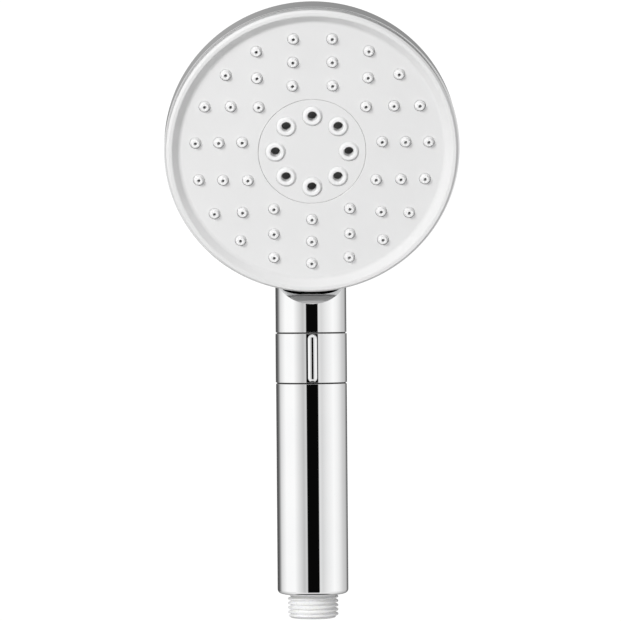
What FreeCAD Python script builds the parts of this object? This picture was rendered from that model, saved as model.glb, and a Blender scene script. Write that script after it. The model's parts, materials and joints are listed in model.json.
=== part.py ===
import FreeCAD, Part
import math
import os
import Sketcher

V = FreeCAD.Vector
doc = FreeCAD.newDocument("HandShower")

# Driving dimensions, millimetres and degrees.
sheet = doc.addObject("Spreadsheet::Sheet", "P")
DIMS = [
    ("threadCrest", 10.478), ("threadRoot", 9.32), ("threadTop", 9.9), ("shankRad", 10.2), ("threadPitch", 1.814),
    ("sleeveRad", 14.7), ("sleeveWall", 1.5), ("sleeveLow", 10.1), ("sleeveTop", 97.2), ("endPlate", 2.2),
    ("ringRad", 14.8), ("ringBore", 12.1), ("ringLow", 97.6), ("ringTop", 118.0),
    ("coreRad", 12.0), ("flangeRad", 12.9), ("spoolBore", 8.06), ("spoolRad", 8.0),
    ("neckRad", 14.7), ("neckBore", 12.3), ("neckLow", 118.4), ("bevelLow", 130.1), ("bevelAngle", 40.0),
    ("bendLow", 140.0), ("bendRad", 30.0),
    ("headRad", 60.0), ("shellWall", 1.6), ("domeSag", 9.5), ("domeBack", 23.5), ("shellFront", 2.0),
    ("plateRad", 59.2), ("lipRad", 56.9), ("grooveRad", 54.0), ("lipRise", 1.4), ("faceDrop", 1.6), ("discRad", 21.9),
    ("nozzleBase", 2.25), ("nozzleTip", 1.6), ("nozzleHole", 0.5), ("ringOneRad", 28.7), ("ringTwoRad", 38.1),
    ("ringThreeRad", 47.5), ("ringOneCount", 11), ("ringTwoCount", 15), ("ringThreeCount", 19),
    ("jetRad", 14.9), ("jetCount", 8), ("jetHole", 1.75), ("jetTop", 3.25), ("jetBase", 4.1),
    ("pipeRad", 6.4), ("pipeBore", 4.8), ("socketRad", 7.7), ("windowLow", 105.4), ("windowTop", 109.6),
    ("keyRad", 1.6), ("keyHeight", 107.5),
]
D = {}
for row, (word, value) in enumerate(DIMS, 1):
    sheet.set("A%d" % row, word)
    sheet.set("B%d" % row, repr(value))
    sheet.setAlias("B%d" % row, word)
    D[word] = float(value)
doc.recompute()


class Names:
    pass


P = Names()
P.__dict__.update(D)


def num(text):
    """The value of a sum of dimension words and numbers, such as 'P.ringRad - 0.5'."""
    total, sign = 0.0, 1.0
    for token in str(text).replace("+", " + ").replace("- ", " - ").split():
        if token == "+":
            sign = 1.0
        elif token == "-":
            sign = -1.0
        else:
            flip = 1.0
            if token.startswith("-P."):
                flip, token = -1.0, token[1:]
            total += sign * flip * (D[token[2:]] if token.startswith("P.") else float(token))
            sign = 1.0
    return total


HEAD = FreeCAD.Placement(V(0, -31, 191.3), FreeCAD.Rotation(V(1, 0, 0), 108.8))
ORIGIN = FreeCAD.Placement()
nodes = {}


def origin_plane(body, role):
    return [f for f in body.Origin.OriginFeatures if f.Role == role][0]


def new_body(name, place=ORIGIN):
    body = doc.addObject("PartDesign::Body", name)
    body.Label = name
    body.Placement = place
    return body


def sketch_on(body, role, label, lift=0.0):
    sk = body.newObject("Sketcher::SketchObject", label)
    sk.AttachmentSupport = [(origin_plane(body, role), "")]
    sk.MapMode = "FlatFace"
    sk.AttachmentOffset = FreeCAD.Placement(V(0, 0, lift), FreeCAD.Rotation())
    return sk


def bind(sk, kind, args, text):
    index = sk.addConstraint(Sketcher.Constraint(kind, *args, num(text)))
    if "P." in str(text):
        sk.setExpression("Constraints[%d]" % index, str(text))


def profile(sk, pts):
    """Closed outline of straight edges; every corner is tied to the origin by its radius and height."""
    n, base = len(pts), sk.GeometryCount
    vals = [(num(a), num(b)) for a, b in pts]
    for i in range(n):
        a, c = vals[i], vals[(i + 1) % n]
        sk.addGeometry(Part.LineSegment(V(a[0], a[1], 0), V(c[0], c[1], 0)), False)
    for i in range(n):
        sk.addConstraint(Sketcher.Constraint("Coincident", base + i, 2, base + (i + 1) % n, 1))
    for i in range(n):
        bind(sk, "DistanceX", (-1, 1, base + i, 1), pts[i][0])
        bind(sk, "DistanceY", (-1, 1, base + i, 1), pts[i][1])


def revolve(body, label, pts, kind="Revolution"):
    """Turn an outline given as (radius, height) about the body's Z axis."""
    sk = sketch_on(body, "XZ_Plane", label + "Outline")
    profile(sk, pts)
    doc.recompute()
    f = body.newObject("PartDesign::" + kind, label)
    f.Profile = sk
    f.ReferenceAxis = (sk, ["V_Axis"])
    f.Angle = 360
    body.Tip = f
    doc.recompute()
    return f


def groove(body, label, pts):
    before = body.Shape.Volume
    f = revolve(body, label, pts, "Groove")
    assert body.Shape.Volume < before - 1e-6, label
    return f


def circles(sk, items):
    """Circles as (x, y, radius), tied to the origin."""
    for x, y, r in items:
        g = sk.addGeometry(Part.Circle(V(num(x), num(y), 0), V(0, 0, 1), num(r)), False)
        bind(sk, "DistanceX", (-1, 1, g, 3), x)
        bind(sk, "DistanceY", (-1, 1, g, 3), y)
        bind(sk, "Radius", (g,), r)


def pad(body, label, items, low, height, points=None):
    sk = sketch_on(body, "XY_Plane", label + "Outline", low)
    if points:
        profile(sk, points)
    else:
        circles(sk, items)
    doc.recompute()
    f = body.newObject("PartDesign::Pad", label)
    f.Profile = sk
    f.Length = height
    body.Tip = f
    doc.recompute()
    return f


def pocket(body, label, items, top, depth, points=None):
    """Cut downwards from height top."""
    before = body.Shape.Volume
    sk = sketch_on(body, "XY_Plane", label + "Outline", top)
    if points:
        profile(sk, points)
    else:
        circles(sk, items)
    doc.recompute()
    f = body.newObject("PartDesign::Pocket", label)
    f.Profile = sk
    f.Length = depth
    body.Tip = f
    doc.recompute()
    if body.Shape.Volume > before - 1e-6:
        f.Reversed = True
        doc.recompute()
    assert body.Shape.Volume < before - 1e-6, label
    return f


def around(body, feature, count, label):
    """Repeat a feature evenly about the body's Z axis."""
    axis = origin_plane(body, "Z_Axis")
    f = body.newObject("PartDesign::PolarPattern", label)
    f.Originals = [feature]
    f.Axis = (axis, [""])
    f.Angle = 360
    f.Occurrences = int(D[count])
    f.setExpression("Occurrences", "P." + count)
    body.Tip = f
    doc.recompute()
    return f


def round_edges(body, label, radius, test, kind="PartDesign::Fillet"):
    """Round the edges whose centre and box satisfy the test."""
    base = body.Tip
    names = ["Edge%d" % (i + 1) for i, e in enumerate(base.Shape.Edges) if test(e)]
    assert names, label
    f = body.newObject(kind, label)
    f.Base = (base, names)
    if kind.endswith("Fillet"):
        f.Radius = radius
    else:
        f.Size = radius
    body.Tip = f
    doc.recompute()
    return f


def edge_radius(e):
    """Radius of a round edge, or zero where it is no circle."""
    try:
        return float(e.Curve.Radius)
    except (TypeError, AttributeError):
        return 0.0


def hoop(e, r, z, tol=0.02):
    """Is this edge a circle of radius r about Z at height z?"""
    b = e.BoundBox
    return abs(b.ZMin - z) < tol and abs(b.ZMax - z) < tol and abs(edge_radius(e) - r) < tol


def prim(kind, label, place=None, **props):
    o = doc.addObject("Part::" + kind, label)
    for key, val in props.items():
        if isinstance(val, str):
            o.setExpression(key, val)
        else:
            setattr(o, key, val)
    if place is not None:
        o.Placement = place
    return o


def boolean(kind, label, a, b, refine=True):
    o = doc.addObject("Part::" + kind, label)
    o.Refine = refine
    o.Base, o.Tool = a, b
    doc.recompute()
    return o


def keep(name, obj):
    obj.Label = name
    nodes[name] = obj
    return obj


def at(x, y, z, axis=None, deg=0.0):
    return FreeCAD.Placement(V(x, y, z), FreeCAD.Rotation(V(*axis), deg) if axis else FreeCAD.Rotation())


# ---------------------------------------------------------------- inlet
b = new_body("inlet_spigot")
revolve(b, "SpigotTurned", [
    ("6.6", "0"), ("P.threadRoot", "0"), ("P.threadRoot", "P.threadTop"), ("P.shankRad", "P.threadTop"),
    ("P.shankRad", "P.sleeveLow + 2.3"), ("P.flangeRad", "P.sleeveLow + 2.3"), ("P.flangeRad", "15.4"),
    ("10.2", "15.4"), ("10.2", "26"), ("P.socketRad", "26"), ("P.socketRad", "16.4"), ("4.6", "16.4"),
    ("4.6", "8.2"), ("6.6", "8.2")])
# Thread shown as rings at the true pitch, crests at the full thread diameter.
step = D["threadPitch"]
for k in range(6):
    z0 = -0.1 + k * step
    low = [("P.threadRoot - 0.3", "0"), ("P.threadRoot + 0.21", "0")] if k == 0 else [
        ("P.threadRoot - 0.3", "%.4f" % z0), ("P.threadRoot", "%.4f" % z0)]
    revolve(b, "Crest%d" % k, low + [
        ("P.threadCrest", "%.4f" % (z0 + 0.55)), ("P.threadCrest", "%.4f" % (z0 + 0.85)),
        ("P.threadRoot", "%.4f" % (z0 + 1.4)), ("P.threadRoot - 0.3", "%.4f" % (z0 + 1.4))])
keep("inlet_spigot", b)

b = new_body("inlet_strainer")
revolve(b, "StrainerRim", [("0", "0.9"), ("6.45", "0.9"), ("6.45", "2.3"), ("5.4", "2.3"), ("5.4", "1.5"), ("0", "1.5")])
grid = [("%.2f" % x, "%.2f" % y, "0.45") for x in (-3.6, -2.4, -1.2, 0, 1.2, 2.4, 3.6)
        for y in (-3.6, -2.4, -1.2, 0, 1.2, 2.4, 3.6) if math.hypot(x, y) < 4.6]
pocket(b, "StrainerMesh", grid, 3.0, 3.0)
keep("inlet_strainer", b)

b = new_body("flow_regulator")
revolve(b, "RegulatorTurned", [("0", "2.4"), ("6.4", "2.4"), ("6.4", "4.2"), ("5.3", "4.2"), ("5.3", "5.9"),
                               ("6.4", "5.9"), ("6.4", "7.2"), ("0", "7.2")])
pocket(b, "RegulatorPorts", [("3.4", "0", "0.8")], 8.0, 6.0)
f = b.newObject("PartDesign::PolarPattern", "RegulatorPortsAround")
f.Originals = [o for o in b.Group if o.TypeId.endswith("Pocket")]
f.Axis = (origin_plane(b, "Z_Axis"), [""])
f.Angle = 360
f.Occurrences = 6
b.Tip = f
doc.recompute()
keep("flow_regulator", b)
keep("regulator_oring", prim("Torus", "regulator_oring", at(0, 0, 5.05), Radius1=5.94, Radius2=0.57))

# ---------------------------------------------------------------- handle
b = new_body("handle_sleeve")
revolve(b, "SleeveTurned", [
    ("10.5", "P.sleeveLow"), ("P.sleeveRad", "P.sleeveLow"), ("P.sleeveRad", "P.sleeveTop"),
    ("P.sleeveRad - P.sleeveWall", "P.sleeveTop"), ("P.sleeveRad - P.sleeveWall", "92.45"), ("13.7", "92.45"),
    ("13.7", "90.95"), ("P.sleeveRad - P.sleeveWall", "90.95"),
    ("P.sleeveRad - P.sleeveWall", "P.sleeveLow + P.endPlate"), ("10.5", "P.sleeveLow + P.endPlate")])
round_edges(b, "SleeveFoot", 2.1, lambda e: hoop(e, D["sleeveRad"], D["sleeveLow"]))
round_edges(b, "SleeveLip", 0.12, lambda e: hoop(e, D["sleeveRad"], D["sleeveTop"]))
keep("handle_sleeve", b)

b = new_body("inner_pipe")
revolve(b, "PipeTurned", [
    ("P.pipeBore", "16.6"), ("7.55", "16.6"), ("7.55", "19.0"), ("6.1", "19.0"), ("6.1", "20.7"), ("7.55", "20.7"),
    ("7.55", "25.0"), ("P.pipeRad", "26.2"), ("P.pipeRad", "86.4"), ("7.55", "87.6"), ("7.55", "93.0"),
    ("6.1", "93.0"), ("6.1", "94.7"), ("7.55", "94.7"), ("7.55", "97.6"), ("P.pipeBore", "97.6")])
keep("inner_pipe", b)

low = prim("Torus", "PipeSealLow", at(0, 0, 19.85), Radius1=6.9, Radius2=0.72)
top = prim("Torus", "PipeSealTop", at(0, 0, 93.85), Radius1=6.9, Radius2=0.72)
o = doc.addObject("Part::Compound", "pipe_orings")
o.Links = [low, top]
keep("pipe_orings", o)

b = new_body("pipe_spacer")
revolve(b, "SpacerTurned", [("6.6", "54"), ("8.2", "54"), ("8.2", "55.6"), ("13.0", "55.6"), ("13.0", "58"), ("6.6", "58")])
pocket(b, "SpacerHole", [("10.5", "0", "1.5")], 60.0, 6.0)
pk = [o for o in b.Group if o.TypeId.endswith("Pocket")]
f = b.newObject("PartDesign::PolarPattern", "SpacerHoles")
f.Originals = pk
f.Axis = (origin_plane(b, "Z_Axis"), [""])
f.Angle = 360
f.Occurrences = 8
b.Tip = f
doc.recompute()
keep("pipe_spacer", b)

b = new_body("snap_ring")
revolve(b, "SnapTurned", [("10.0", "91.1"), ("13.45", "91.1"), ("13.45", "92.3"), ("10.0", "92.3")])
pocket(b, "SnapGap", None, 95.0, 6.0, [("-1.6", "6"), ("1.6", "6"), ("2.6", "15"), ("-2.6", "15")])
keep("snap_ring", b)

# ---------------------------------------------------------------- valve core
b = new_body("valve_housing")
revolve(b, "CoreTurned", [
    ("P.socketRad", "84"), ("11.2", "84"), ("11.2", "90.95"), ("9.6", "90.95"), ("9.6", "92.45"), ("P.flangeRad", "92.45"),
    ("P.flangeRad", "97.2"), ("P.coreRad", "97.2"), ("P.coreRad", "122.0"), ("10.9", "122.0"), ("10.9", "123.7"),
    ("P.coreRad", "123.7"), ("P.coreRad", "127.5"), ("0", "127.5"), ("0", "115.4"), ("P.spoolBore", "115.4"),
    ("P.spoolBore", "99.2"), ("5.4", "99.2"), ("5.4", "98.0"), ("P.socketRad", "98.0")])
# Two water ports through the port plate, then a socket for each duct.
pocket(b, "DuctSockets", [("-4.6", "5.3", "3.3"), ("4.6", "5.3", "3.3")], 127.5, 8.5)
pocket(b, "CorePorts", [("-4.24", "4.24", "1.6"), ("4.24", "4.24", "1.6")], 120.0, 6.0)
# Window for the drive key, open towards the back through 116 degrees.
c58, s58 = math.cos(math.radians(32)), math.sin(math.radians(32))
pts = [(7.0 * c58, 7.0 * s58), (14.0 * c58, 14.0 * s58), (14.0 * c58, 14.5), (-14.0 * c58, 14.5), (-14.0 * c58, 14.0 * s58),
       (-7.0 * c58, 7.0 * s58), (-4.0, 6.4), (4.0, 6.4)]
pocket(b, "KeyWindow", None, D["windowTop"], D["windowTop"] - D["windowLow"], [("%.4f" % x, "%.4f" % y) for x, y in pts])
# Blind hole for the detent at the front.
sk = b.newObject("Sketcher::SketchObject", "DetentHoleOutline")
sk.AttachmentSupport = [(origin_plane(b, "XZ_Plane"), "")]
sk.MapMode = "FlatFace"
sk.AttachmentOffset = FreeCAD.Placement(V(0, 0, 8.9), FreeCAD.Rotation())
circles(sk, [("0", "P.keyHeight", "1.35")])
doc.recompute()
f = b.newObject("PartDesign::Pocket", "DetentHole")
f.Profile = sk
f.Length = 5
b.Tip = f
doc.recompute()
ref = b.Shape.Volume
probe = b.Shape.isInside(V(0, -11, D["keyHeight"]), 1e-4, True)
if probe:
    f.Reversed = True
    doc.recompute()
assert not b.Shape.isInside(V(0, -11, D["keyHeight"]), 1e-4, True)
keep("valve_housing", b)
keep("housing_oring", prim("Torus", "housing_oring", at(0, 0, 122.85), Radius1=11.62, Radius2=0.62))

b = new_body("diverter_spool")
revolve(b, "SpoolTurned", [
    ("5.6", "99.5"), ("P.spoolRad", "99.5"), ("P.spoolRad", "101.2"), ("7.0", "101.2"), ("7.0", "102.6"),
    ("P.spoolRad", "102.6"), ("P.spoolRad", "111.2"), ("7.0", "111.2"), ("7.0", "112.6"), ("P.spoolRad", "112.6"),
    ("P.spoolRad", "114.4"), ("0", "114.4"), ("0", "111.8"), ("4.6", "111.8"), ("4.6", "101.0"), ("5.6", "101.0")])
# Crescent opening centred on the back, wide enough to bare one port fully at either end of travel.
arc = []
for ang in range(45, 136, 15):
    arc.append((6.9 * math.cos(math.radians(ang)), 6.9 * math.sin(math.radians(ang))))
for ang in range(135, 44, -15):
    arc.append((3.2 * math.cos(math.radians(ang)), 3.2 * math.sin(math.radians(ang))))
pocket(b, "SpoolPort", None, 114.4, 2.0, [("%.4f" % x, "%.4f" % y) for x, y in arc])
pocket(b, "SpoolFeed", [("0", "3.4", "1.1")], 113.0, 3.0)
sk = b.newObject("Sketcher::SketchObject", "KeyHoleOutline")
sk.AttachmentSupport = [(origin_plane(b, "XZ_Plane"), "")]
sk.MapMode = "FlatFace"
sk.AttachmentOffset = FreeCAD.Placement(V(0, 0, -5.4), FreeCAD.Rotation())
circles(sk, [("0", "P.keyHeight", "P.keyRad + 0.05")])
doc.recompute()
f = b.newObject("PartDesign::Pocket", "KeyHole")
f.Profile = sk
f.Length = 5
b.Tip = f
doc.recompute()
if b.Shape.isInside(V(0, 7, D["keyHeight"]), 1e-4, True):
    f.Reversed = True
    doc.recompute()
assert not b.Shape.isInside(V(0, 7, D["keyHeight"]), 1e-4, True)
keep("diverter_spool", b)

low = prim("Torus", "SpoolSealLow", at(0, 0, 101.9), Radius1=7.51, Radius2=0.49)
top = prim("Torus", "SpoolSealTop", at(0, 0, 111.9), Radius1=7.51, Radius2=0.49)
o = doc.addObject("Part::Compound", "spool_orings")
o.Links = [low, top]
keep("spool_orings", o)

b = new_body("port_seal")
pad(b, "SealDisc", [("0", "0", "7.9")], 114.55, 0.8)
pocket(b, "SealPorts", [("-4.24", "4.24", "1.7"), ("4.24", "4.24", "1.7")], 116.0, 3.0)
keep("port_seal", b)

keep("drive_key", prim("Cylinder", "drive_key", at(0, 5.5, D["keyHeight"], (1, 0, 0), -90), Radius="P.keyRad", Height=8.0))
keep("detent_ball", prim("Sphere", "detent_ball", at(0, -11.55, D["keyHeight"]), Radius=1.25))
hx = prim("Helix", "DetentCoil", Pitch=0.42, Height=0.95, Radius=0.85)
ci = prim("Circle", "DetentWire", at(0.85, 0, 0, (1, 0, 0), 90), Radius=0.14)
sw = doc.addObject("Part::Sweep", "detent_spring")
sw.Sections, sw.Spine, sw.Solid, sw.Frenet = [ci], (hx, ["Edge1"]), True, True
sw.Placement = at(0, -9.13, D["keyHeight"], (1, 0, 0), 90)
doc.recompute()
keep("detent_spring", sw)

# ---------------------------------------------------------------- selector
b = new_body("selector_ring")
revolve(b, "RingTurned", [
    ("P.ringBore", "P.ringLow + 0.9"), ("13.5", "P.ringLow + 0.9"), ("13.5", "P.ringLow"), ("P.ringRad", "P.ringLow"),
    ("P.ringRad", "P.ringTop"), ("13.6", "P.ringTop"), ("13.6", "P.ringTop - 0.9"), ("P.ringBore", "P.ringTop - 0.9")])
round_edges(b, "RingEdges", 0.12, lambda e: hoop(e, D["ringRad"], D["ringLow"]) or hoop(e, D["ringRad"], D["ringTop"]))
groove(b, "BallTrack", [("P.ringBore - 0.2", "106.1"), ("12.95", "106.1"), ("12.95", "108.9"), ("P.ringBore - 0.2", "108.9")])
# Bore for the outer end of the drive key, and the slot that seats the finger rib.
tool = prim("Cylinder", "RingKeyBore", at(0, 11.0, D["keyHeight"], (1, 0, 0), -90), Radius="P.keyRad + 0.05", Height=2.62)
cut = boolean("Cut", "RingKeyed", b, tool)


def capsule(label, half, low_z, high_z, y0, y1):
    """Upright rounded bar between two depths."""
    box = prim("Box", label + "Bar", at(-half, y0, low_z + half), Length=2 * half, Width=y1 - y0, Height=high_z - low_z - 2 * half)
    foot = prim("Cylinder", label + "Foot", at(0, y0, low_z + half, (1, 0, 0), -90), Radius=half, Height=y1 - y0)
    crown = prim("Cylinder", label + "Crown", at(0, y0, high_z - half, (1, 0, 0), -90), Radius=half, Height=y1 - y0)
    fused = doc.addObject("Part::MultiFuse", label + "Block")
    fused.Shapes = [box, foot, crown]
    fused.Refine = True
    doc.recompute()
    return fused


seat = capsule("RibSeat", 1.95, 97.85, 117.75, -16.5, -14.05)
keep("selector_ring", boolean("Cut", "selector_ring", cut, seat))
rib = capsule("Rib", 1.85, 97.95, 117.65, -15.95, -14.06)
doc.recompute()
f = doc.addObject("Part::Fillet", "selector_rib")
f.Base = rib
f.Edges = [(i + 1, 1.1, 1.1) for i, e in enumerate(rib.Shape.Edges) if e.BoundBox.YMax < -15.9]
doc.recompute()
keep("selector_rib", f)

b = new_body("glide_washer_lower")
revolve(b, "WasherLowTurned", [("12.25", "97.22"), ("13.3", "97.22"), ("13.3", "98.4"), ("12.25", "98.4")])
keep("glide_washer_lower", b)
b = new_body("glide_washer_upper")
revolve(b, "WasherTopTurned", [("12.25", "117.2"), ("13.3", "117.2"), ("13.3", "118.38"), ("12.25", "118.38")])
keep("glide_washer_upper", b)

# ---------------------------------------------------------------- twin waterway in the neck
n_dir = V(0, -math.sin(math.radians(71.2)), -math.cos(math.radians(71.2)))
v_dir = V(0, -math.cos(math.radians(71.2)), math.sin(math.radians(71.2)))
centre = V(0, -31, 191.3)


def head_point(x, y, z):
    return centre + V(x, 0, 0) + v_dir * y + n_dir * z


def tube(x, r, z_low, end_y):
    """Round bar that goes straight up, then leans with the head."""
    a = V(x, 5.3, z_low)
    m = V(x, 5.3, 140.1)
    end = m + v_dir * (head_point(x, end_y, 0) - m).dot(v_dir)
    one = Part.makeCylinder(r, m.z - a.z, a, V(0, 0, 1))
    two = Part.makeCylinder(r, (end - m).Length, m, v_dir)
    return one.fuse([two, Part.makeSphere(r, m), Part.makeSphere(r, end)])


block = Part.makeBox(16.4, 11.9, 2.8, V(-8.2, -40.4, -17.3))
block.Placement = HEAD
solid = tube(-4.6, 3.1, 119.7, -35.0).fuse(tube(4.6, 3.1, 119.7, -35.0)).fuse(block)
for x in (-4.6, 4.6):
    solid = solid.cut(tube(x, 2.2, 119.0, -35.0))
    bore = Part.makeCylinder(2.2, 8.0, V(x, -35.0, -17.4), V(0, 0, 1))
    bore.Placement = HEAD
    solid = solid.cut(bore)
o = doc.addObject("Part::Feature", "twin_waterway")
o.Shape = solid.removeSplitter()
keep("twin_waterway", o)

rings = []
for x in (-4.6, 4.6):
    outer = prim("Cylinder", "DuctSealOuter%d" % (x > 0), at(x, 5.3, 119.05), Radius=3.2, Height=0.6)
    inner = prim("Cylinder", "DuctSealInner%d" % (x > 0), at(x, 5.3, 118.9), Radius=2.2, Height=1.0)
    rings.append(boolean("Cut", "DuctSeal%d" % (x > 0), outer, inner))
o = doc.addObject("Part::Compound", "duct_seals")
o.Links = rings
doc.recompute()
keep("duct_seals", o)

# ---------------------------------------------------------------- spray unit, drawn with its front towards +Z
b = new_body("waterway_gasket", HEAD)
pad(b, "GasketPad", None, -14.5, 0.5, [("-8.0", "-40.2"), ("8.0", "-40.2"), ("8.0", "-28.6"), ("-8.0", "-28.6")])
pocket(b, "GasketPorts", [("-4.6", "-35", "2.5"), ("4.6", "-35", "2.5")], -13.0, 3.0)
keep("waterway_gasket", b)

b = new_body("manifold_cover", HEAD)
pad(b, "CoverPlate", None, -14.0, 2.2, [("-12", "-44"), ("12", "-44"), ("12", "-4"), ("-12", "-4")])
pocket(b, "CoverPorts", [("-4.6", "-35", "2.4"), ("4.6", "-35", "2.4")], -11.0, 4.0)
pocket(b, "CoverChannel", None, -11.8, 1.3, [("2.4", "-36.5"), ("6.8", "-36.5"), ("6.8", "-10"), ("2.4", "-10")])
pocket(b, "CoverHoles", [("-10", "-42", "1.1"), ("10", "-42", "1.1"), ("-10", "-6", "1.1"), ("10", "-6", "1.1")], -11.0, 4.0)
keep("manifold_cover", b)

b = new_body("manifold_gasket", HEAD)
pad(b, "FlatGasket", None, -11.8, 0.5, [("-12", "-44"), ("12", "-44"), ("12", "-4"), ("-12", "-4")])
pocket(b, "FlatGasketHoles", [("-10", "-42", "1.1"), ("10", "-42", "1.1"), ("-10", "-6", "1.1"), ("10", "-6", "1.1"),
                              ("-4.6", "-35", "2.4"), ("4.6", "-12.4", "2.1")], -11.0, 2.0)
keep("manifold_gasket", b)

b = new_body("spray_chamber", HEAD)
revolve(b, "ChamberTurned", [
    ("0", "-11.3"), ("54.6", "-11.3"), ("54.6", "-5.1"), ("53.0", "-5.1"), ("53.0", "-9.7"), ("23.6", "-9.7"),
    ("23.6", "-5.1"), ("22.0", "-5.1"), ("22.0", "-9.7"), ("0", "-9.7")])
pad(b, "ScrewBosses", [("-10", "-42", "2.2"), ("10", "-42", "2.2"), ("-10", "-6", "2.2"), ("10", "-6", "2.2")], -10.0, 3.2)
pocket(b, "ChamberPorts", [("-4.6", "-35", "2.4"), ("4.6", "-12.4", "2.1")], -9.0, 3.0)
pocket(b, "ScrewPilots", [("-10", "-42", "0.9"), ("10", "-42", "0.9"), ("-10", "-6", "0.9"), ("10", "-6", "0.9")], -7.9, 4.0)
keep("spray_chamber", b)

screws = []
for k, (x, y) in enumerate(((-10, -42), (10, -42), (-10, -6), (10, -6))):
    shank = prim("Cylinder", "ScrewShank%d" % k, at(x, y, -14.2), Radius=0.85, Height=6.1)
    head = prim("Cylinder", "ScrewHead%d" % k, at(x, y, -15.3), Radius=1.9, Height=1.3)
    slot = prim("Box", "ScrewSlot%d" % k, at(x - 1.4, y - 0.25, -15.6), Length=2.8, Width=0.5, Height=0.8)
    slot2 = prim("Box", "ScrewCross%d" % k, at(x - 0.25, y - 1.4, -15.6), Length=0.5, Width=2.8, Height=0.8)
    whole = boolean("Fuse", "ScrewBlank%d" % k, shank, head)
    first = boolean("Cut", "ScrewOne%d" % k, whole, slot)
    screws.append(boolean("Cut", "Screw%d" % k, first, slot2))
o = doc.addObject("Part::Compound", "manifold_screws")
o.Links = screws
o.Placement = HEAD
doc.recompute()
keep("manifold_screws", o)

b = new_body("rain_nozzles", HEAD)
revolve(b, "MatTurned", [("22.2", "-5.0"), ("54.0", "-5.0"), ("54.0", "-3.9"), ("22.2", "-3.9")])
for word, rad, count in (("One", "ringOneRad", "ringOneCount"), ("Two", "ringTwoRad", "ringTwoCount"),
                         ("Three", "ringThreeRad", "ringThreeCount")):
    cone = b.newObject("PartDesign::AdditiveCone", "Tip" + word)
    cone.AttachmentSupport = [(origin_plane(b, "XY_Plane"), "")]
    cone.MapMode = "FlatFace"
    cone.Radius1, cone.Radius2, cone.Height = D["nozzleBase"], D["nozzleTip"], 4.4
    cone.setExpression("Radius1", "P.nozzleBase")
    cone.setExpression("Radius2", "P.nozzleTip")
    cone.AttachmentOffset = FreeCAD.Placement(V(0, -D[rad], -4.4), FreeCAD.Rotation())
    cone.setExpression("AttachmentOffset.Base.y", "-P." + rad)
    b.Tip = cone
    doc.recompute()
    around(b, cone, count, "Tips" + word)
for word, rad, count in (("One", "ringOneRad", "ringOneCount"), ("Two", "ringTwoRad", "ringTwoCount"),
                         ("Three", "ringThreeRad", "ringThreeCount")):
    hole = pocket(b, "TipHole" + word, [("0", "-P." + rad, "P.nozzleHole")], 0.5, 7.0)
    around(b, hole, count, "TipHoles" + word)
keep("rain_nozzles", b)

b = new_body("face_plate", HEAD)
revolve(b, "PlateTurned", [
    ("P.discRad", "-P.faceDrop"), ("P.grooveRad", "-P.faceDrop"), ("P.lipRad", "P.lipRise - 0.1"), ("58.3", "P.lipRise"),
    ("P.plateRad", "P.lipRise - 0.9"), ("P.plateRad", "-1.85"), ("58.0", "-1.85"), ("58.0", "-7.0"), ("56.4", "-7.0"),
    ("56.4", "-3.8"), ("P.discRad", "-3.8")])
round_edges(b, "PlateCrest", 0.9, lambda e: hoop(e, D["lipRad"], D["lipRise"] - 0.1))
for word, rad, count in (("One", "ringOneRad", "ringOneCount"), ("Two", "ringTwoRad", "ringTwoCount"),
                         ("Three", "ringThreeRad", "ringThreeCount")):
    hole = pocket(b, "PlateHole" + word, [("0", "-P." + rad, "P.nozzleBase + 0.12")], 0.5, 6.0)
    around(b, hole, count, "PlateHoles" + word)
keep("face_plate", b)

b = new_body("jet_nozzles", HEAD)
revolve(b, "JetMatTurned", [("0", "-5.0"), ("21.6", "-5.0"), ("21.6", "-4.1"), ("0", "-4.1")])
sk_pts = [("P.jetRad", "0", "P.jetBase")]
jet = b.newObject("PartDesign::AdditiveCone", "JetBody")
jet.AttachmentSupport = [(origin_plane(b, "XY_Plane"), "")]
jet.MapMode = "FlatFace"
jet.Radius1, jet.Radius2, jet.Height = D["jetBase"], D["jetTop"], 3.6
jet.setExpression("Radius1", "P.jetBase")
jet.setExpression("Radius2", "P.jetTop")
jet.AttachmentOffset = FreeCAD.Placement(V(D["jetRad"], 0, -4.5), FreeCAD.Rotation())
jet.setExpression("AttachmentOffset.Base.x", "P.jetRad")
b.Tip = jet
doc.recompute()
around(b, jet, "jetCount", "JetBodies")
bore = pocket(b, "JetBore", [("P.jetRad", "0", "P.jetHole")], 0.5, 7.0)
around(b, bore, "jetCount", "JetBores")
keep("jet_nozzles", b)

b = new_body("centre_disc", HEAD)
revolve(b, "DiscTurned", [("0", "-4.0"), ("21.75", "-4.0"), ("21.75", "-P.faceDrop - 0.3"), ("0", "-P.faceDrop - 0.3")])
hole = pocket(b, "DiscHole", [("P.jetRad", "0", "P.jetBase + 0.08")], 0.5, 6.0)
around(b, hole, "jetCount", "DiscHoles")
keep("centre_disc", b)

keep("rim_seal", prim("Torus", "rim_seal", HEAD.multiply(at(0, 0, -7.9)), Radius1=57.45, Radius2=0.75))

# ---------------------------------------------------------------- head shell: neck, bevel, dish and dome in one moulding
wall, R60 = D["shellWall"], D["headRad"]
chord = R60 - 2.2
ball = (chord ** 2 + D["domeSag"] ** 2) / (2 * D["domeSag"])
mid = -D["domeBack"] + ball


def dish(label, radius, sphere, front):
    """Drum closed behind by a shallow dome."""
    drum = prim("Cylinder", label + "Drum", at(0, 0, -60), Radius=radius, Height=60 + front)
    dome = prim("Sphere", label + "Dome", at(0, 0, mid), Radius=sphere)
    both = boolean("Common", label + "Lens", drum, dome)
    both.Placement = HEAD
    doc.recompute()
    return both


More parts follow.
